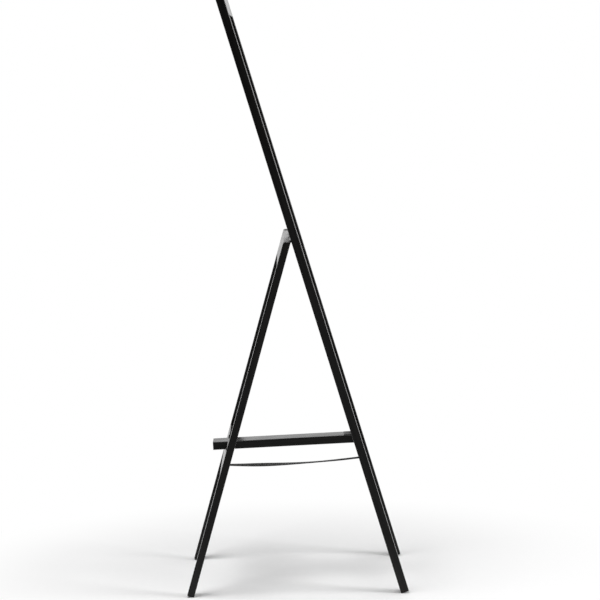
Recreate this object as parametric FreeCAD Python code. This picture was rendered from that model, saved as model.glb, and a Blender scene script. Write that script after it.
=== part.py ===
"""Folding wooden easel: a long front frame, a shorter hinged rear frame, a strut and a strap between them.

Millimetres. +Z is up and the front faces -Y. The origin is on the floor, halfway between the two lines where
the feet touch it, in the middle of the width. Left is -X.
Each frame is drawn upright, with its inner face on y = 0 and its feet on z = 0, and is then leaned.
"""

import FreeCAD, Part
import math
import os

V = FreeCAD.Vector
X = V(1, 0, 0)
Z = V(0, 0, 1)

# Overall sizes
WIDTH = 480.0
BASE_SPREAD = 556.0
FRONT_LEG_LENGTH = 1680.0
FRONT_LEAN = 16.2
REAR_LEAN = 16.3

# Timber
FRONT_DEPTH = 22.0
REAR_DEPTH = 19.0
LEG_WIDTH = 40.0
TOP_RAIL_HEIGHT = 68.0
FRONT_LOWER_RAIL_THICKNESS = 12.0
FRONT_LOWER_RAIL_HEIGHT = 71.0
FRONT_LOWER_RAIL_TOP = 414.5
REAR_LOWER_RAIL_HEIGHT = 77.0
REAR_LOWER_RAIL_BOTTOM = 329.0
EASED_EDGE = 2.5

# Dowels
DOWEL_DIAMETER = 8.0
THIN_DOWEL_DIAMETER = 6.0
DOWEL_LENGTH = 40.0
DOWEL_END_GAP = 1.0
DOWEL_INSET = 18.0

# Hinges
KNUCKLE_DIAMETER = 5.5
KNUCKLE_GAP = 0.3
KNUCKLE_TO_WOOD = 0.1
KNUCKLES = 5
HINGE_PIN_DIAMETER = 2.6
PIN_CLEARANCE = 0.05
LEAF_THICKNESS = 1.3
FRAME_HINGE_WIDTH = 32.0
FRAME_LEAF_LENGTH = 40.0
MORTISE_CLEARANCE = 0.2
FOLDED_GAP = 0.5
STRUT_HINGE_WIDTH = 50.0
STRUT_LEAF_LENGTH = 24.0

# Countersunk screws
SCREW_SHANK = 3.0
SCREW_HEAD = 5.6
SCREW_LENGTH = 16.0
SCREW_EDGE = 6.0
RECESS_WIDTH = 0.7
RECESS_DEPTH = 0.8
RECESS_SHARE = 0.6  # of the head's width
SCREW_TIP = 0.6

# Strut
STRUT_THICKNESS = 22.0
STRUT_WIDTH = 64.0
STRUT_TAIL = 41.0
STRUT_SLOPE = 1.9
STRUT_END_GAP = 1.5
LAP_DEPTH = 5.0
LAP_CLEARANCE = 0.3
LAP_REST_GAP = 0.1
LAP_RAMP = 45.0
NOTCH_SIDE_CLEARANCE = 0.6

# Limit strap and its fixings
STRAP_WIDTH = 20.0
STRAP_THICKNESS = 2.0
STRAP_SAG = 6.6
STRAP_SPANS = 14
STRAP_END_MARGIN = 5.0
WASHER_DIAMETER = 10.0
WASHER_THICKNESS = 1.0
PAN_HEAD = 6.4
PAN_HEAD_HEIGHT = 2.2
PAN_HEAD_ROUNDING = 0.7
PAN_SHANK = 3.0
PAN_SCREW_LENGTH = 18.0

# What follows from them
FRONT = math.radians(FRONT_LEAN)
REAR = math.radians(REAR_LEAN)
SLOPE = math.radians(STRUT_SLOPE)
INNER_WIDTH = WIDTH - 2 * LEG_WIDTH
LEG_CENTRE_X = WIDTH / 2 - LEG_WIDTH / 2
PIN_TO_WOOD = KNUCKLE_DIAMETER / 2 + KNUCKLE_TO_WOOD
PIN_TO_FRONT = PIN_TO_WOOD - LEAF_THICKNESS
PIN_TO_REAR = FOLDED_GAP - PIN_TO_FRONT
FRONT_LOWER_RAIL_BOTTOM = FRONT_LOWER_RAIL_TOP - FRONT_LOWER_RAIL_HEIGHT
NOTCH_REACH = 2 * STRUT_THICKNESS  # clear of the rail that is notched


def frame_pin():
    """(y, z) of the frame hinge pins, from how far the planes of the frames' inner faces are from them."""
    reach = BASE_SPREAD * math.cos(REAR)
    used = PIN_TO_REAR + PIN_TO_FRONT * math.cos(REAR) / math.cos(FRONT)
    z = (reach - used) / (math.tan(FRONT) * math.cos(REAR) + math.sin(REAR))
    y = (PIN_TO_FRONT + z * math.sin(FRONT)) / math.cos(FRONT) - BASE_SPREAD / 2
    return y, z


def turned(y, z, angle):
    """The point (y, z) turned about the X axis."""
    return y * math.cos(angle) - z * math.sin(angle), y * math.sin(angle) + z * math.cos(angle)


def front_point(y, z):
    """Where a point of the upright front frame is on the leaned one."""
    turned_y, turned_z = turned(y, z, -FRONT)
    return turned_y - BASE_SPREAD / 2, turned_z


def rear_point(y, z):
    """Where a point of the upright rear frame is on the leaned one."""
    turned_y, turned_z = turned(y, z, REAR)
    return turned_y + BASE_SPREAD / 2, turned_z


PIN_Y, PIN_Z = frame_pin()
FRONT_PIN_HEIGHT = turned(PIN_Y + BASE_SPREAD / 2, PIN_Z, FRONT)[1]
REAR_TOP_INNER = (PIN_Z - PIN_TO_WOOD) / math.cos(REAR)
REAR_TOP_OUTER = REAR_TOP_INNER - REAR_DEPTH * math.tan(REAR)
REAR_TOP_Y = rear_point(0, REAR_TOP_INNER)[0]
STRUT_PIN = (STRUT_END_GAP / 2, FRONT_LOWER_RAIL_TOP + PIN_TO_WOOD)
STRUT_PIN_Y, STRUT_PIN_Z = front_point(*STRUT_PIN)


# Placing

def tilted(shape, degrees, y, z):
    """A copy turned about the X axis and then moved."""
    copy = shape.copy()
    copy.rotate(V(0, 0, 0), X, degrees)
    copy.translate(V(0, y, z))
    return copy


def lean_front(shape):
    return tilted(shape, -FRONT_LEAN, -BASE_SPREAD / 2, 0)


def lean_rear(shape):
    return tilted(shape, REAR_LEAN, BASE_SPREAD / 2, 0)


def rear_upright(shape):
    """Undoes lean_rear."""
    copy = shape.copy()
    copy.translate(V(0, -BASE_SPREAD / 2, 0))
    copy.rotate(V(0, 0, 0), X, -REAR_LEAN)
    return copy


def lay_strut(shape):
    """Places what is drawn with the strut hinge pin on the X axis and the strut along +Y."""
    return tilted(shape, -STRUT_SLOPE, STRUT_PIN_Y, STRUT_PIN_Z)


def moved(shape, x, y, z):
    copy = shape.copy()
    copy.translate(V(x, y, z))
    return copy


def about_face(shape):
    """The same shape turned half round the Z axis."""
    copy = shape.copy()
    copy.rotate(V(0, 0, 0), Z, 180)
    return copy


def mirrored(shape):
    """The same shape on the other side of the middle plane."""
    return shape.mirror(V(0, 0, 0), X)


def with_twin(solids):
    """Left solids and their right twins."""
    return solids + [mirrored(solid) for solid in solids]


# Shapes

def prism(outline, x_low, x_high):
    """A solid with a side outline of (y, z) points, from x_low to x_high."""
    corners = [V(x_low, y, z) for y, z in outline]
    return Part.Face(Part.makePolygon(corners + corners[:1])).extrude(V(x_high - x_low, 0, 0))


def eased(solid, direction):
    """The solid with its straight edges along a direction rounded."""
    edges = []
    for edge in solid.Edges:
        run = edge.Vertexes[-1].Point - edge.Vertexes[0].Point
        if run.Length > 0 and run.cross(direction).Length < 1e-6 * run.Length:
            edges.append(edge)
    return solid.makeFillet(EASED_EDGE, edges)


def cut_all(solid, tools):
    for tool in tools:
        solid = solid.cut(tool)
    return solid


def across(diameter, x_low, x_high, y=0.0, z=0.0):
    """A round bar along X."""
    return Part.makeCylinder(diameter / 2, x_high - x_low, V(x_low, y, z), X)


# Dowels

def rail_dowels(diameter, y, bottom, height, end_gap=0.0):
    """The four dowels of a rail, or with an end gap the holes that hold them."""
    reach = DOWEL_LENGTH / 2 + end_gap
    joint_x = -INNER_WIDTH / 2
    heights = (bottom + DOWEL_INSET, bottom + height - DOWEL_INSET)
    return with_twin([across(diameter, joint_x - reach, joint_x + reach, y, z) for z in heights])


FRONT_TOP_JOINT = (DOWEL_DIAMETER, -FRONT_DEPTH / 2, FRONT_LEG_LENGTH - TOP_RAIL_HEIGHT, TOP_RAIL_HEIGHT)
FRONT_LOWER_JOINT = (
    THIN_DOWEL_DIAMETER,
    -FRONT_LOWER_RAIL_THICKNESS / 2,
    FRONT_LOWER_RAIL_BOTTOM,
    FRONT_LOWER_RAIL_HEIGHT,
)
REAR_TOP_JOINT = (DOWEL_DIAMETER, REAR_DEPTH / 2, REAR_TOP_OUTER - TOP_RAIL_HEIGHT, TOP_RAIL_HEIGHT)
REAR_LOWER_JOINT = (DOWEL_DIAMETER, REAR_DEPTH / 2, REAR_LOWER_RAIL_BOTTOM, REAR_LOWER_RAIL_HEIGHT)


def dowel_holes(*joints):
    return [hole for joint in joints for hole in rail_dowels(*joint, end_gap=DOWEL_END_GAP)]


# Screws, drawn with the top or the seat of the head on z = 0 and the point along +Z

def cross_recessed(screw, top, head):
    """The screw with a driver's cross cut into the top of its head."""
    reach = RECESS_SHARE * head
    one = Part.makeBox(reach, RECESS_WIDTH, RECESS_DEPTH, V(-reach / 2, -RECESS_WIDTH / 2, top))
    other = Part.makeBox(RECESS_WIDTH, reach, RECESS_DEPTH, V(-RECESS_WIDTH / 2, -reach / 2, top))
    return screw.cut(one.fuse(other))


def countersunk_body():
    """The outline of a flat-headed screw, which is also the hole that it fills."""
    sink = (SCREW_HEAD - SCREW_SHANK) / 2
    head = Part.makeCone(SCREW_HEAD / 2, SCREW_SHANK / 2, sink)
    shank = Part.makeCylinder(SCREW_SHANK / 2, SCREW_LENGTH - sink - SCREW_SHANK, V(0, 0, sink))
    tip = Part.makeCone(SCREW_SHANK / 2, SCREW_TIP / 2, SCREW_SHANK, V(0, 0, SCREW_LENGTH - SCREW_SHANK))
    return head.fuse([shank, tip])


def pan_screw():
    """A pan-headed screw, with the underside of its head on z = 0."""
    head = Part.makeCylinder(PAN_HEAD / 2, PAN_HEAD_HEIGHT, V(0, 0, -PAN_HEAD_HEIGHT))
    rim = [edge for edge in head.Edges if edge.BoundBox.ZMax < -PAN_HEAD_HEIGHT / 2]
    head = head.makeFillet(PAN_HEAD_ROUNDING, rim)
    shank = Part.makeCylinder(PAN_SHANK / 2, PAN_SCREW_LENGTH)
    return cross_recessed(head.fuse(shank), -PAN_HEAD_HEIGHT, PAN_HEAD)


# Hinges, drawn with the pin on the X axis, on wood whose face is y = -PIN_TO_WOOD, the leaf reaching down

def knuckle_spans(width, first):
    """(low, high) along X of every second knuckle, from the first."""
    length = (width - (KNUCKLES - 1) * KNUCKLE_GAP) / KNUCKLES
    starts = [-width / 2 + i * (length + KNUCKLE_GAP) for i in range(first, KNUCKLES, 2)]
    return [(start, start + length) for start in starts]


def screws_in_leaf(spots, body):
    """Copies of a screw, or of its hole, at (x, z) spots with the head flush in the leaf."""
    laid = tilted(body, 90, LEAF_THICKNESS - PIN_TO_WOOD, 0)
    return [moved(laid, x, 0, z) for x, z in spots]


def leaf(width, length, spots, first):
    """One hinge leaf with every second knuckle, from the first."""
    wood = -PIN_TO_WOOD
    face = LEAF_THICKNESS - PIN_TO_WOOD
    solid = prism([(wood, -length), (face, -length), (face, 0), (wood, 0)], -width / 2, width / 2)
    for low, high in knuckle_spans(width, 1 - first):
        room = KNUCKLE_DIAMETER + 2 * KNUCKLE_GAP
        solid = solid.cut(across(room, low - KNUCKLE_GAP, high + KNUCKLE_GAP))
    for low, high in knuckle_spans(width, first):
        solid = solid.fuse(across(KNUCKLE_DIAMETER, low, high))
    bore = HINGE_PIN_DIAMETER + 2 * PIN_CLEARANCE
    solid = solid.cut(across(bore, -width, width))
    return cut_all(solid, screws_in_leaf(spots, countersunk_body())).removeSplitter()


def hinge_pin(width):
    return across(HINGE_PIN_DIAMETER, -width / 2, width / 2)


def screw_rows(width, rows, columns):
    """(x, z) spots in rows down a leaf, evenly spread over its width."""
    reach = width / 2 - SCREW_EDGE
    step = 2 * reach / (columns - 1)
    return [(-reach + i * step, -row) for row in rows for i in range(columns)]


FRONT_SPOTS = screw_rows(
    FRAME_HINGE_WIDTH, (KNUCKLE_DIAMETER / 2 + SCREW_EDGE, FRAME_LEAF_LENGTH - SCREW_EDGE), 2
)
REAR_TOP_REACH = REAR_TOP_Y + REAR_DEPTH / math.cos(REAR) - PIN_Y
REAR_LEAF_LENGTH = REAR_TOP_REACH - EASED_EDGE
REAR_SPOTS = screw_rows(FRAME_HINGE_WIDTH, ((REAR_LEAF_LENGTH + KNUCKLE_DIAMETER / 2) / 2,), 3)
STRUT_SPOTS = screw_rows(
    STRUT_HINGE_WIDTH, (KNUCKLE_DIAMETER / 2 + SCREW_EDGE, STRUT_LEAF_LENGTH - SCREW_EDGE), 2
)
RAIL_LEAF_LENGTH = STRUT_END_GAP / 2 + FRONT_LOWER_RAIL_THICKNESS - EASED_EDGE
RAIL_SPOTS = screw_rows(
    STRUT_HINGE_WIDTH, (STRUT_END_GAP / 2 + FRONT_LOWER_RAIL_THICKNESS / 2,), 3
)


def on_front_leg(shape):
    """Places a frame hinge piece in the left leg of the upright front frame, with its leaf let in flush."""
    return moved(shape, -LEG_CENTRE_X, PIN_TO_FRONT, FRONT_PIN_HEIGHT)


def on_rear_leg(shape):
    """Places a frame hinge piece on the level top of the leaned left rear leg."""
    return moved(tilted(shape, 90, 0, 0), -LEG_CENTRE_X, PIN_Y, PIN_Z)


def on_rail_edge(shape):
    """Places a strut hinge piece on the top edge of the upright front lower rail."""
    return moved(about_face(tilted(shape, 90, 0, 0)), 0, *STRUT_PIN)


def on_strut(shape):
    """Places a strut hinge piece on the top face of the strut as it is drawn."""
    return tilted(shape, 90, 0, 0)


def placed_screws(spots, place, body):
    return [place(screw) for screw in screws_in_leaf(spots, body)]


# Timber

def hinge_mortise():
    """The shallow pocket that takes a frame hinge's front leaf and the near side of its knuckles."""
    side = FRAME_HINGE_WIDTH / 2 + MORTISE_CLEARANCE
    low = FRONT_PIN_HEIGHT - FRAME_LEAF_LENGTH - MORTISE_CLEARANCE
    high = FRONT_PIN_HEIGHT + KNUCKLE_DIAMETER / 2 + MORTISE_CLEARANCE
    outline = [(-LEAF_THICKNESS, low), (PIN_TO_FRONT, low), (PIN_TO_FRONT, high), (-LEAF_THICKNESS, high)]
    return prism(outline, -LEG_CENTRE_X - side, -LEG_CENTRE_X + side)


def front_leg():
    outline = [(-FRONT_DEPTH, 0), (0, 0), (0, FRONT_LEG_LENGTH), (-FRONT_DEPTH, FRONT_LEG_LENGTH)]
    solid = eased(prism(outline, -WIDTH / 2, -INNER_WIDTH / 2), Z)
    holes = dowel_holes(FRONT_TOP_JOINT, FRONT_LOWER_JOINT) + [hinge_mortise()]
    holes += placed_screws(FRONT_SPOTS, on_front_leg, countersunk_body())
    return cut_all(solid, holes)


def rear_leg():
    outline = [(0, 0), (REAR_DEPTH, 0), (REAR_DEPTH, REAR_TOP_OUTER), (0, REAR_TOP_INNER)]
    solid = eased(prism(outline, -WIDTH / 2, -INNER_WIDTH / 2), Z)
    holes = dowel_holes(REAR_TOP_JOINT, REAR_LOWER_JOINT)
    holes += [rear_upright(hole) for hole in placed_screws(REAR_SPOTS, on_rear_leg, countersunk_body())]
    return cut_all(solid, holes)


def rail(outline, *joints):
    """A rail between the legs, with its dowel holes."""
    solid = eased(prism(outline, -INNER_WIDTH / 2, INNER_WIDTH / 2), X)
    return cut_all(solid, dowel_holes(*joints))


def front_top_rail():
    low = FRONT_LEG_LENGTH - TOP_RAIL_HEIGHT
    outline = [(-FRONT_DEPTH, low), (0, low), (0, FRONT_LEG_LENGTH), (-FRONT_DEPTH, FRONT_LEG_LENGTH)]
    return rail(outline, FRONT_TOP_JOINT)


def front_lower_rail():
    """A thinner rail, flush with the inner faces of the legs."""
    low, high = FRONT_LOWER_RAIL_BOTTOM, FRONT_LOWER_RAIL_TOP
    outline = [(-FRONT_LOWER_RAIL_THICKNESS, low), (0, low), (0, high), (-FRONT_LOWER_RAIL_THICKNESS, high)]
    solid = rail(outline, FRONT_LOWER_JOINT)
    holes = placed_screws(RAIL_SPOTS, on_rail_edge, countersunk_body())
    return cut_all(solid, holes + [strap_screw_hole(on_front_rail)])


def rear_top_rail():
    low = REAR_TOP_OUTER - TOP_RAIL_HEIGHT
    outline = [(0, low), (REAR_DEPTH, low), (REAR_DEPTH, REAR_TOP_OUTER), (0, REAR_TOP_INNER)]
    return rail(outline, REAR_TOP_JOINT)


def rear_lower_rail():
    """The rail with an open notch, in whose floor the strut rests. Returned leaned."""
    low = REAR_LOWER_RAIL_BOTTOM
    high = low + REAR_LOWER_RAIL_HEIGHT
    solid = rail([(0, low), (REAR_DEPTH, low), (REAR_DEPTH, high), (0, high)], REAR_LOWER_JOINT)
    return lean_rear(solid.cut(strap_screw_hole(on_rear_rail))).cut(lay_strut(rail_notch()))


# Strut, drawn with its hinge pin on the X axis and its length along +Y

STRUT_TOP = -PIN_TO_WOOD
STRUT_BOTTOM = STRUT_TOP - STRUT_THICKNESS
LAP_FACE = STRUT_BOTTOM + LAP_DEPTH


def strut_front_y(z):
    """Where the front end, which is parallel to the front rail, is at a height."""
    lean = FRONT - SLOPE
    return (STRUT_END_GAP / 2 + z * math.sin(lean)) / math.cos(lean)


def rail_face_y(face, z):
    """Where a face of the rear lower rail, given by its upright y, crosses a height of the strut."""
    foot = rear_point(face, 0)
    foot_y, foot_z = turned(foot[0] - STRUT_PIN_Y, foot[1] - STRUT_PIN_Z, SLOPE)
    return foot_y - (z - foot_z) * math.tan(REAR + SLOPE)


def lap():
    """What is cut from the underside: square against the back of the rail, ramped towards the front."""
    below = STRUT_BOTTOM - LAP_DEPTH
    back = rail_face_y(REAR_DEPTH, LAP_FACE) + LAP_CLEARANCE
    back_below = rail_face_y(REAR_DEPTH, below) + LAP_CLEARANCE
    fore = rail_face_y(0, LAP_FACE) - LAP_CLEARANCE
    fore_below = fore - (LAP_FACE - below) / math.tan(math.radians(LAP_RAMP))
    outline = [(fore, LAP_FACE), (fore_below, below), (back_below, below), (back, LAP_FACE)]
    return prism(outline, -STRUT_WIDTH, STRUT_WIDTH)


def rail_notch():
    """What is cut from the rear lower rail so that the strut drops in it."""
    floor = LAP_FACE - LAP_REST_GAP
    fore = rail_face_y(0, floor) - NOTCH_REACH
    back = rail_face_y(REAR_DEPTH, floor) + NOTCH_REACH
    side = STRUT_WIDTH / 2 + NOTCH_SIDE_CLEARANCE
    return prism([(fore, floor), (back, floor), (back, NOTCH_REACH), (fore, NOTCH_REACH)], -side, side)


def strut():
    tail = rail_face_y(REAR_DEPTH, STRUT_TOP) + STRUT_TAIL
    outline = [
        (strut_front_y(STRUT_TOP), STRUT_TOP),
        (strut_front_y(STRUT_BOTTOM), STRUT_BOTTOM),
        (tail, STRUT_BOTTOM),
        (tail, STRUT_TOP),
    ]
    solid = eased(prism(outline, -STRUT_WIDTH / 2, STRUT_WIDTH / 2), V(0, 1, 0))
    return cut_all(solid, [lap()] + placed_screws(STRUT_SPOTS, on_strut, countersunk_body()))


# Limit strap, screwed under the two lower rails

def on_front_rail(shape):
    """Places a strap fixing, drawn on z = 0 pointing up, under the upright front lower rail."""
    return moved(shape, 0, -FRONT_LOWER_RAIL_THICKNESS / 2, FRONT_LOWER_RAIL_BOTTOM)


def on_rear_rail(shape):
    """Places a strap fixing, drawn on z = 0 pointing up, under the upright rear lower rail."""
    return moved(shape, 0, REAR_DEPTH / 2, REAR_LOWER_RAIL_BOTTOM)


def strap_screw_hole(place):
    """The hole that a strap screw fills in a rail."""
    depth = PAN_SCREW_LENGTH - STRAP_THICKNESS - WASHER_THICKNESS
    return place(Part.makeCylinder(PAN_SHANK / 2, depth))


def strap_screw():
    return moved(pan_screw(), 0, 0, -STRAP_THICKNESS - WASHER_THICKNESS)


def strap_washer():
    low = V(0, 0, -STRAP_THICKNESS - WASHER_THICKNESS)
    ring = Part.makeCylinder(WASHER_DIAMETER / 2, WASHER_THICKNESS, low)
    return ring.cut(Part.makeCylinder(PAN_SHANK / 2, WASHER_THICKNESS, low))


def strap_path():
    """(y, z) points along the strap's upper face, from its rear end to its front end."""
    front_y, front_z = front_point(0, FRONT_LOWER_RAIL_BOTTOM)
    rear_y, rear_z = rear_point(0, REAR_LOWER_RAIL_BOTTOM)
    points = [rear_point(REAR_DEPTH / 2 + STRAP_END_MARGIN, REAR_LOWER_RAIL_BOTTOM)]
    for i in range(STRAP_SPANS + 1):
        t = i / STRAP_SPANS
        sag = 4 * STRAP_SAG * t * (1 - t)
        points.append((rear_y + t * (front_y - rear_y), rear_z + t * (front_z - rear_z) - sag))
    end = -FRONT_LOWER_RAIL_THICKNESS / 2 - STRAP_END_MARGIN
    points.append(front_point(end, FRONT_LOWER_RAIL_BOTTOM))
    return points


def offset_below(points, distance):
    """The same line moved square to itself, downwards."""
    moved_points = []
    for i, (y, z) in enumerate(points):
        before = points[max(i - 1, 0)]
        after = points[min(i + 1, len(points) - 1)]
        run_y, run_z = after[0] - before[0], after[1] - before[1]
        length = math.hypot(run_y, run_z)
        moved_points.append((y - run_z / length * distance, z + run_y / length * distance))
    return moved_points


def limit_strap():
    upper = strap_path()
    lower = offset_below(upper, STRAP_THICKNESS)
    solid = prism(upper + lower[::-1], -STRAP_WIDTH / 2, STRAP_WIDTH / 2)
    through = Part.makeCylinder(PAN_SHANK / 2, PAN_SCREW_LENGTH, V(0, 0, -PAN_SCREW_LENGTH / 2))
    return cut_all(solid, [lean_front(on_front_rail(through)), lean_rear(on_rear_rail(through))])


def build():
    """Every node, by name."""
    screw = cross_recessed(countersunk_body(), 0, SCREW_HEAD)
    front_leaf = leaf(FRAME_HINGE_WIDTH, FRAME_LEAF_LENGTH, FRONT_SPOTS, 0)
    rear_leaf = leaf(FRAME_HINGE_WIDTH, REAR_LEAF_LENGTH, REAR_SPOTS, 1)
    nodes = {
        "front_leg_left": lean_front(front_leg()),
        "front_top_rail": lean_front(front_top_rail()),
        "front_lower_rail": lean_front(front_lower_rail()),
        "rear_leg_left": lean_rear(rear_leg()),
        "rear_top_rail": lean_rear(rear_top_rail()),
        "rear_lower_rail": rear_lower_rail(),
        "frame_hinge_front_leaf_left": lean_front(on_front_leg(front_leaf)),
        "frame_hinge_rear_leaf_left": on_rear_leg(rear_leaf),
        "frame_hinge_pin_left": lean_front(on_front_leg(hinge_pin(FRAME_HINGE_WIDTH))),
        "strut": lay_strut(strut()),
        "strut_hinge_rail_leaf": lean_front(
            on_rail_edge(leaf(STRUT_HINGE_WIDTH, RAIL_LEAF_LENGTH, RAIL_SPOTS, 0))
        ),
        "strut_hinge_strut_leaf": lay_strut(
            on_strut(leaf(STRUT_HINGE_WIDTH, STRUT_LEAF_LENGTH, STRUT_SPOTS, 1))
        ),
        "strut_hinge_pin": lay_strut(hinge_pin(STRUT_HINGE_WIDTH)),
        "limit_strap": limit_strap(),
        "strap_front_washer": lean_front(on_front_rail(strap_washer())),
        "strap_rear_washer": lean_rear(on_rear_rail(strap_washer())),
        "strap_front_screw": lean_front(on_front_rail(strap_screw())),
        "strap_rear_screw": lean_rear(on_rear_rail(strap_screw())),
    }
    for name in [name for name in nodes if name.endswith("_left")]:
        nodes[name[: -len("left")] + "right"] = mirrored(nodes[name])

    groups = {
        "front_top_dowels": (lean_front, rail_dowels(*FRONT_TOP_JOINT)),
        "front_lower_dowels": (lean_front, rail_dowels(*FRONT_LOWER_JOINT)),
        "rear_top_dowels": (lean_rear, rail_dowels(*REAR_TOP_JOINT)),
        "rear_lower_dowels": (lean_rear, rail_dowels(*REAR_LOWER_JOINT)),
        "frame_hinge_front_screws": (
            lean_front, with_twin(placed_screws(FRONT_SPOTS, on_front_leg, screw))
        ),
        "frame_hinge_rear_screws": (
            Part.Shape.copy, with_twin(placed_screws(REAR_SPOTS, on_rear_leg, screw))
        ),
        "strut_hinge_rail_screws": (lean_front, placed_screws(RAIL_SPOTS, on_rail_edge, screw)),
        "strut_hinge_strut_screws": (lay_strut, placed_screws(STRUT_SPOTS, on_strut, screw)),
    }
    for name, (place, solids) in groups.items():
        nodes[name] = Part.makeCompound([place(solid) for solid in solids])
    return nodes


def main():
    os.makedirs("parts", exist_ok=True)
    nodes = build()
    for name, shape in sorted(nodes.items()):
        shape.exportStep(f"parts/{name}.step")
    print(f"frame hinge pin y {PIN_Y:.4f} z {PIN_Z:.4f}")
    print(f"strut hinge pin y {STRUT_PIN_Y:.4f} z {STRUT_PIN_Z:.4f}")
    print(f"fold {FRONT_LEAN + REAR_LEAN:.3f} deg, strut lift {90 - FRONT_LEAN + STRUT_SLOPE:.3f} deg")
    print(f"{len(nodes)} nodes")


main()
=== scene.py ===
import math

import bpy
from mathutils import Matrix, Vector


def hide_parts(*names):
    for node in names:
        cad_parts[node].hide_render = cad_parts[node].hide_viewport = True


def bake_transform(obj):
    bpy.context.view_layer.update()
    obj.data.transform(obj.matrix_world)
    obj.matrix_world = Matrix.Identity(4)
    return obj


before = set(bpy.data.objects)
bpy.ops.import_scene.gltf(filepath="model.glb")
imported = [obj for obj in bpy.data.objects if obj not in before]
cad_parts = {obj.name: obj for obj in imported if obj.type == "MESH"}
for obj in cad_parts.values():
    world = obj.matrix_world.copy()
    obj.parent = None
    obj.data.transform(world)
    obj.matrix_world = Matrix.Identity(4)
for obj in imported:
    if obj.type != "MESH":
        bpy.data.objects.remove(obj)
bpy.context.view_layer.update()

# The easel in metres, as its CAD source has it: +Z is up, the front faces -Y, and left is -X.
FRONT_LEAN = math.radians(16.2)
REAR_LEAN = math.radians(16.3)
STRUT_SLOPE = math.radians(1.9)
HALF_SPREAD = 0.278
FRONT_RAIL_BOTTOM = 0.3435
REAR_RAIL_BOTTOM = 0.329
FRONT_RAIL_THICKNESS = 0.012
REAR_RAIL_THICKNESS = 0.019
STRAP_WIDTH = 0.020
STRAP_THICKNESS = 0.0020
STRAP_SAG = 0.0066
STRAP_END_MARGIN = 0.005

# Camera
CAMERA_PLACE = (-5.901, -0.0009, 1.419)
CAMERA_DOWN = math.radians(6.26)
CAMERA_YAW = math.radians(-0.21)
CAMERA_ROLL = math.radians(-1.10)
FOCAL_LENGTH = 129.2
SENSOR_WIDTH = 36


def add_camera():
    """A long lens on the left side, looking along +X and slightly down."""
    level = Vector((math.cos(CAMERA_YAW), math.sin(CAMERA_YAW), 0))
    forward = level * math.cos(CAMERA_DOWN) - Vector((0, 0, math.sin(CAMERA_DOWN)))
    level_right = level.cross(Vector((0, 0, 1)))
    level_up = level_right.cross(forward)
    right = level_right * math.cos(CAMERA_ROLL) + level_up * math.sin(CAMERA_ROLL)
    up = right.cross(forward)
    camera = bpy.data.objects.new("camera", bpy.data.cameras.new("camera"))
    camera.data.sensor_width = SENSOR_WIDTH
    camera.data.lens = FOCAL_LENGTH
    axes = Matrix((right, up, -forward)).transposed().to_4x4()
    camera.matrix_world = Matrix.Translation(CAMERA_PLACE) @ axes
    bpy.context.scene.collection.objects.link(camera)
    bpy.context.scene.camera = camera


# Shader helpers

# Numbers of the Mix node's colour sockets, whose names its other data types share
MIX_FACTOR, MIX_FIRST, MIX_SECOND = 0, 6, 7
MIX_RESULT = 2
# Cosines between a face's normal and its rounded one, off an edge and on it
EDGE_TURN = (0.99, 0.80)


class Shader:
    """The node tree of a material or a world, with short calls for the nodes it is made of."""

    def __init__(self, owner):
        owner.use_nodes = True
        self.tree = owner.node_tree
        self.tree.nodes.clear()

    def add(self, kind, values=None, **settings):
        """A node, with its inputs set to numbers or linked to other nodes' outputs."""
        made = self.tree.nodes.new(kind)
        for name, value in settings.items():
            setattr(made, name, value)
        for name, value in (values or {}).items():
            if isinstance(value, bpy.types.NodeSocket):
                self.tree.links.new(value, made.inputs[name])
            else:
                made.inputs[name].default_value = value
        return made

    def math(self, operation, *values):
        return self.add("ShaderNodeMath", dict(enumerate(values)), operation=operation).outputs[0]

    def noise(self, vector, scale, detail=2.0):
        values = {"Vector": vector, "Scale": scale, "Detail": detail}
        return self.add("ShaderNodeTexNoise", values).outputs["Fac"]

    def ranged(self, value, low, high, to_low=0.0, to_high=1.0):
        """The value from low to high, mapped smoothly to another range."""
        values = {
            "Value": value,
            "From Min": low,
            "From Max": high,
            "To Min": to_low,
            "To Max": to_high,
        }
        node = self.add("ShaderNodeMapRange", values, interpolation_type="SMOOTHSTEP")
        return node.outputs["Result"]

    def mixed(self, factor, first, second):
        """A colour between two."""
        values = {MIX_FACTOR: factor, MIX_FIRST: first, MIX_SECOND: second}
        return self.add("ShaderNodeMix", values, data_type="RGBA").outputs[MIX_RESULT]

    def placed(self, turn, scale):
        """Object coordinates turned about the X axis and then scaled."""
        where = self.add("ShaderNodeTexCoord").outputs["Object"]
        turned = self.add(
            "ShaderNodeMapping", {"Vector": where, "Rotation": (turn, 0, 0)}
        ).outputs["Vector"]
        return self.add("ShaderNodeMapping", {"Vector": turned, "Scale": scale}).outputs["Vector"]

    def bumped(self, height, strength, distance):
        values = {"Height": height, "Strength": strength, "Distance": distance}
        return self.add("ShaderNodeBump", values).outputs["Normal"]

    def edges(self, radius):
        """1 along sharp edges, 0 on flat faces."""
        soft = self.add("ShaderNodeBevel", {"Radius": radius}, samples=4).outputs["Normal"]
        true = self.add("ShaderNodeNewGeometry").outputs["True Normal"]
        dot = self.add("ShaderNodeVectorMath", {0: soft, 1: true}, operation="DOT_PRODUCT")
        return self.ranged(dot.outputs["Value"], *EDGE_TURN)

    def surface(self, **values):
        """A principled surface; underscores stand for spaces in its inputs' names."""
        named = {name.replace("_", " "): value for name, value in values.items()}
        shader = self.add("ShaderNodeBsdfPrincipled", named)
        self.add("ShaderNodeOutputMaterial", {"Surface": shader.outputs["BSDF"]})


def grey(value, warmth=0.0):
    """A dark or light neutral colour, slightly warm."""
    return (value * (1 + warmth), value, value * (1 - warmth), 1.0)


# Materials

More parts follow.
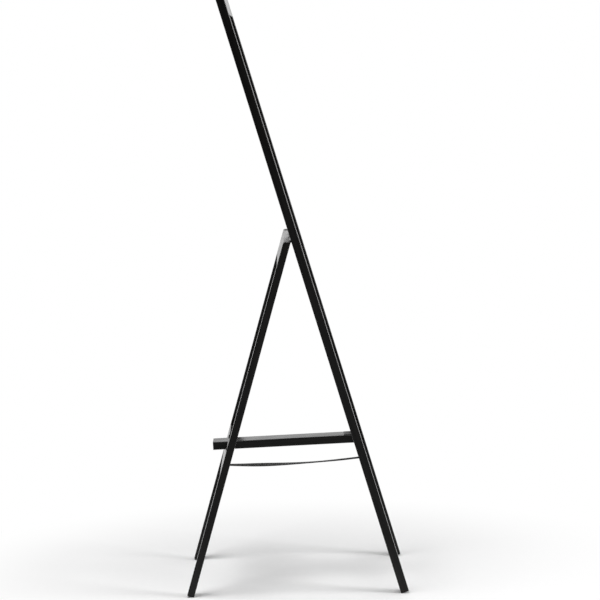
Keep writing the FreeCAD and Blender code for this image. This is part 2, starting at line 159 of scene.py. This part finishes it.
PAINT = (grey(0.0020, 0.08), grey(0.0060, 0.08))
PAINT_WORN = (0.035, 0.024, 0.017, 1.0)
PAINT_EDGE = 0.0022  # metres of worn edge
STEEL_EDGE = 0.0005
STEEL = (grey(0.011), grey(0.020))
BARE_STEEL = grey(0.32, 0.02)
DOWEL = ((0.46, 0.29, 0.15, 1.0), (0.66, 0.47, 0.28, 1.0))
TAPE = (grey(0.006), grey(0.024))
WARP_PITCH = 0.0010
WEFT_PITCH = 0.0016
TWILL_SLANT = 0.6


def black_paint(name, grain, turn):
    """Satin black paint on open-grained wood. Its grain runs along an axis after a turn about X."""
    material = bpy.data.materials.new(name)
    shader = Shader(material)

    def stretched(across, along):
        return tuple(along if axis == grain else across for axis in "XYZ")

    streaks = shader.noise(shader.placed(turn, stretched(160, 7)), 1.0, 3.0)
    pores = shader.noise(shader.placed(turn, stretched(1500, 60)), 1.0, 2.0)
    mottle = shader.noise(shader.placed(turn, stretched(45, 18)), 1.0, 2.0)
    dents = shader.ranged(pores, 0.60, 0.75, 0.0, -1.0)
    height = shader.math("ADD", shader.math("MULTIPLY", streaks, 1.4), dents)
    rubbed = shader.math("MULTIPLY", shader.edges(PAINT_EDGE), shader.ranged(mottle, 0.50, 0.66))
    colour = shader.mixed(shader.ranged(streaks, 0.35, 0.7), *PAINT)
    colour = shader.mixed(shader.math("MULTIPLY", rubbed, 0.45), colour, PAINT_WORN)
    gloss = shader.ranged(mottle, 0.3, 0.7, 0.19, 0.26)
    shader.surface(
        Base_Color=colour,
        Roughness=shader.math("ADD", gloss, shader.math("MULTIPLY", rubbed, 0.15)),
        Specular_IOR_Level=0.24,
        Normal=shader.bumped(height, 0.45, 0.00007),
    )
    return material


def bare_wood(name):
    """Pale hardwood dowel, with its grain along X."""
    material = bpy.data.materials.new(name)
    shader = Shader(material)
    rings = shader.noise(shader.placed(0, (12, 400, 400)), 1.0, 3.0)
    fibres = shader.noise(shader.placed(0, (60, 2500, 2500)), 1.0, 2.0)
    shader.surface(
        Base_Color=shader.mixed(rings, *DOWEL),
        Roughness=shader.ranged(fibres, 0.3, 0.7, 0.55, 0.7),
        Normal=shader.bumped(fibres, 0.4, 0.0001),
    )
    return material


def black_steel(name, wear):
    """Black-coated steel with a fine texture, rubbed to bare metal along its edges."""
    material = bpy.data.materials.new(name)
    shader = Shader(material)
    skin = shader.noise(shader.placed(0, (2600, 2600, 2600)), 1.0, 2.0)
    patches = shader.noise(shader.placed(0, (240, 240, 240)), 1.0, 3.0)
    rubbed = shader.math("MULTIPLY", shader.edges(STEEL_EDGE), shader.ranged(patches, 0.42, 0.6))
    rubbed = shader.math("MULTIPLY", rubbed, wear)
    shader.surface(
        Base_Color=shader.mixed(rubbed, shader.mixed(patches, *STEEL), BARE_STEEL),
        Metallic=rubbed,
        Roughness=shader.ranged(patches, 0.3, 0.7, 0.36, 0.48),
        Normal=shader.bumped(skin, 0.3, 0.00005),
    )
    return material


def webbing(name):
    """Black polypropylene tape: a two-up, two-down weave of flat yarns between firm selvedges."""
    material = bpy.data.materials.new(name)
    shader = Shader(material)
    where = shader.add("ShaderNodeUVMap", uv_map="metres").outputs["UV"]
    parts = shader.add("ShaderNodeSeparateXYZ", {"Vector": where})
    along, across = parts.outputs["X"], parts.outputs["Y"]
    warp = shader.math("SINE", shader.math("MULTIPLY", across, 2 * math.pi / WARP_PITCH))
    slant = shader.math("MULTIPLY", shader.math("ABSOLUTE", across), TWILL_SLANT)
    weft = shader.math("ADD", along, slant)
    weft = shader.math("SINE", shader.math("MULTIPLY", weft, 2 * math.pi / WEFT_PITCH))
    weave = shader.math("MULTIPLY", shader.math("ADD", warp, weft), 0.5)
    fuzz = shader.noise(shader.placed(0, (3000, 3000, 3000)), 1.0, 2.0)
    height = shader.math("ADD", weave, shader.math("MULTIPLY", fuzz, 0.4))
    shader.surface(
        Base_Color=shader.mixed(shader.ranged(height, -0.6, 0.9), *TAPE),
        Roughness=shader.ranged(weave, -1, 1, 0.62, 0.5),
        Sheen_Weight=0.25,
        Sheen_Roughness=0.4,
        Normal=shader.bumped(height, 0.6, 0.00015),
    )
    return material


# Painted nodes: the axis of their grain once a turn about X has made them upright, and that turn
PAINTED = {
    "front_leg_left": ("Z", FRONT_LEAN),
    "front_leg_right": ("Z", FRONT_LEAN),
    "front_top_rail": ("X", FRONT_LEAN),
    "front_lower_rail": ("X", FRONT_LEAN),
    "rear_leg_left": ("Z", -REAR_LEAN),
    "rear_leg_right": ("Z", -REAR_LEAN),
    "rear_top_rail": ("X", -REAR_LEAN),
    "rear_lower_rail": ("X", -REAR_LEAN),
    "strut": ("Y", STRUT_SLOPE),
}


def finish_cad_nodes():
    """Every CAD node gets a material that shows what it is made of."""
    ways = sorted(set(PAINTED.values()))
    paints = {way: black_paint(f"paint_{i}", *way) for i, way in enumerate(ways)}
    dowel_wood = bare_wood("dowel_wood")
    hinge = black_steel("hinge_coat", 0.7)
    screw = black_steel("screw_coat", 0.4)
    for name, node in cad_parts.items():
        if name in PAINTED:
            material = paints[PAINTED[name]]
        elif "dowels" in name:
            material = dowel_wood
        elif "screw" in name or "washer" in name:
            material = screw
        else:
            material = hinge
        for place in node.material_slots:
            place.material = material


# Limit strap

# Degrees of roll, where along Y they peak, and how far they reach each way
ROLLS = ((15, 0.090, 0.125), (-3, -0.070, 0.070))
STRAP_STEP = 0.002
STRAP_ROUNDS = 6
EDGE_POINTS = 3
FLAT_POINTS = 8


def front_point(y, z):
    """Where a point of the upright front frame is on the leaned one."""
    s, c = math.sin(FRONT_LEAN), math.cos(FRONT_LEAN)
    return Vector((0, y * c + z * s - HALF_SPREAD, z * c - y * s))


def rear_point(y, z):
    """Where a point of the upright rear frame is on the leaned one."""
    s, c = math.sin(REAR_LEAN), math.cos(REAR_LEAN)
    return Vector((0, y * c - z * s + HALF_SPREAD, z * c + y * s))


def strap_corners():
    """The middle of the tape at its rear end, the two rails' inner edges and its front end."""
    half = STRAP_THICKNESS / 2
    return (
        rear_point(REAR_RAIL_THICKNESS / 2 + STRAP_END_MARGIN, REAR_RAIL_BOTTOM - half),
        rear_point(0, REAR_RAIL_BOTTOM - half),
        front_point(0, FRONT_RAIL_BOTTOM - half),
        front_point(-FRONT_RAIL_THICKNESS / 2 - STRAP_END_MARGIN, FRONT_RAIL_BOTTOM - half),
    )


def strap_line():
    """Evenly spaced points along the middle of the tape, which sags between the rails."""
    rear_end, rear_edge, front_edge, front_end = strap_corners()
    spans = round((front_edge - rear_edge).length / STRAP_STEP)
    line = [rear_end.lerp(rear_edge, i / STRAP_ROUNDS) for i in range(STRAP_ROUNDS)]
    for i in range(spans + 1):
        t = i / spans
        line.append(rear_edge.lerp(front_edge, t) - Vector((0, 0, 4 * STRAP_SAG * t * (1 - t))))
    line += [front_edge.lerp(front_end, (i + 1) / STRAP_ROUNDS) for i in range(STRAP_ROUNDS)]
    return line


def strap_section():
    """(across, through) points round the tape: flat faces and round selvedges."""
    r = STRAP_THICKNESS / 2
    flat = STRAP_WIDTH / 2 - r
    top = [(-flat + 2 * flat * i / FLAT_POINTS, r) for i in range(FLAT_POINTS + 1)]
    turns = [math.pi / 2 - math.pi * (i + 1) / (EDGE_POINTS + 1) for i in range(EDGE_POINTS)]
    edge = [(flat + r * math.cos(a), r * math.sin(a)) for a in turns]
    half = top + edge
    return half + [(-x, -z) for x, z in half]


def strap_roll(y):
    """How far the slack tape is rolled about its length, with its left edge down if positive."""
    roll = 0.0
    for degrees, centre, reach in ROLLS:
        bump = max(0.0, 1 - abs(y - centre) / reach)
        roll += math.radians(degrees) * bump * bump * (3 - 2 * bump)
    return roll


def strap_rings(line, section):
    """The section's points at each point of the line, and how far along it each ring is."""
    rings, distances = [], []
    travelled = 0.0
    for i, point in enumerate(line):
        before, after = line[max(i - 1, 0)], line[min(i + 1, len(line) - 1)]
        travelled += (point - before).length
        distances.append(travelled)
        tangent = (after - before).normalized()
        side = Matrix.Rotation(strap_roll(point.y), 3, tangent) @ Vector((1, 0, 0))
        through = side.cross(tangent)
        rings.append([point + side * x + through * z for x, z in section])
    return rings, distances


def round_section(section):
    """How far round the section each of its points is from the first."""
    girth = [0.0]
    for i, corner in enumerate(section):
        following = section[(i + 1) % len(section)]
        girth.append(girth[-1] + (Vector(following) - Vector(corner)).length)
    return girth


def strap_faces(distances, girth, count):
    """Faces as numbers of points, and the UV place in metres of each of their corners.

    Between the ends, V is zero along the middle of the section's first face.
    """
    middle = girth[FLAT_POINTS] / 2
    faces, places = [], []
    for i in range(len(distances) - 1):
        near, far = distances[i], distances[i + 1]
        here, there = i * count, (i + 1) * count
        for j in range(count):
            k = (j + 1) % count
            low, high = girth[j] - middle, girth[j + 1] - middle
            faces.append((here + j, there + j, there + k, here + k))
            places += [(near, low), (far, low), (far, high), (near, high)]
    last = (len(distances) - 1) * count
    for first, way in ((0, 1), (last, -1)):
        faces.append(tuple(range(first, first + count))[::way])
        places += [(0, girth[j]) for j in range(count)][::way]
    return faces, places


def add_strap(material):
    """The tape, rolled about its own length where it hangs slack."""
    section = strap_section()
    rings, distances = strap_rings(strap_line(), section)
    faces, places = strap_faces(distances, round_section(section), len(section))
    mesh = bpy.data.meshes.new("limit_strap_tape")
    mesh.from_pydata([point for ring in rings for point in ring], [], faces)
    chart = mesh.uv_layers.new(name="metres")
    chart.uv.foreach_set("vector", [number for place in places for number in place])
    for face in mesh.polygons:
        face.use_smooth = True
    mesh.materials.append(material)
    strap = bpy.data.objects.new("limit_strap_tape", mesh)
    bpy.context.scene.collection.objects.link(strap)
    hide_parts("limit_strap")
    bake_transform(strap)


# Studio

FLOOR_HALF = 14.0
FLOOR = (grey(0.90), grey(0.93))
FLOOR_FADE = (0.38, 1.1)  # metres from the origin where the floor starts to glow and is all white
FLOOR_GLOW_ACROSS = (-1.0, 0.8)  # X where the glow that is reflected is weakest and full
WEAKEST_GLOW = 0.5
WORLD_SHARE = -0.8  # of the Y direction that is added to the X direction
WORLD_RANGE = (0.3, 0.95)
WORLD_GLOW = (0.07, 1.0)


def add_floor():
    """A pale floor that glows white away from the easel, and less in reflections on the left."""
    material = bpy.data.materials.new("floor")
    shader = Shader(material)
    where = shader.add("ShaderNodeTexCoord").outputs["Object"]
    distance = shader.add("ShaderNodeVectorMath", {0: where}, operation="LENGTH").outputs["Value"]
    colour = shader.mixed(shader.noise(where, 60.0, 4.0), *FLOOR)
    matte = shader.add("ShaderNodeBsdfDiffuse", {"Color": colour})
    side = shader.add("ShaderNodeSeparateXYZ", {"Vector": where}).outputs["X"]
    seen = shader.add("ShaderNodeLightPath").outputs["Is Camera Ray"]
    reflected = shader.ranged(side, *FLOOR_GLOW_ACROSS, WEAKEST_GLOW, 1.0)
    strength = shader.math("MAXIMUM", reflected, seen)
    glow = shader.add("ShaderNodeEmission", {"Color": grey(1.0), "Strength": strength})
    white = shader.ranged(distance, *FLOOR_FADE)
    values = {"Fac": white, 1: matte.outputs[0], 2: glow.outputs[0]}
    fade = shader.add("ShaderNodeMixShader", values)
    shader.add("ShaderNodeOutputMaterial", {"Surface": fade.outputs[0]})
    signs = ((-1, -1), (1, -1), (1, 1), (-1, 1))
    corners = [(x * FLOOR_HALF, y * FLOOR_HALF, 0) for x, y in signs]
    mesh = bpy.data.meshes.new("floor")
    mesh.from_pydata(corners, [], [(0, 1, 2, 3)])
    mesh.materials.append(material)
    floor = bpy.data.objects.new("floor", mesh)
    bpy.context.scene.collection.objects.link(floor)


def add_world():
    """White where it is seen. Its light is brighter towards the right side and the front."""
    world = bpy.data.worlds.new("studio")
    bpy.context.scene.world = world
    shader = Shader(world)
    way = shader.add("ShaderNodeTexCoord").outputs["Generated"]
    parts = shader.add("ShaderNodeSeparateXYZ", {"Vector": way})
    ahead = shader.math("MULTIPLY", parts.outputs["Y"], WORLD_SHARE)
    facing = shader.math("ADD", parts.outputs["X"], ahead)
    lit = shader.ranged(facing, *WORLD_RANGE, *WORLD_GLOW)
    seen = shader.add("ShaderNodeLightPath").outputs["Is Camera Ray"]
    strength = shader.math("MAXIMUM", lit, seen)
    glow = shader.add("ShaderNodeBackground", {"Color": grey(1.0), "Strength": strength})
    shader.add("ShaderNodeOutputWorld", {"Surface": glow.outputs[0]})


def add_light(name, place, target, size, energy):
    """A square soft light that faces a point."""
    light = bpy.data.lights.new(name, "AREA")
    light.size = size
    light.energy = energy
    lamp = bpy.data.objects.new(name, light)
    lamp.location = place
    lamp.rotation_mode = "QUATERNION"
    lamp.rotation_quaternion = (Vector(target) - Vector(place)).to_track_quat("-Z", "Y")
    bpy.context.scene.collection.objects.link(lamp)


add_camera()
add_world()
add_floor()
add_light("front_softbox", (-1.0, -3.0, 2.0), (0, 0, 0.6), size=1.3, energy=60)
add_light("top_softbox", (-0.6, 0.8, 3.5), (0, 0, 0.2), size=2.0, energy=88)
bpy.context.scene.view_settings.view_transform = "Standard"
add_strap(webbing("strap_webbing"))
finish_cad_nodes()
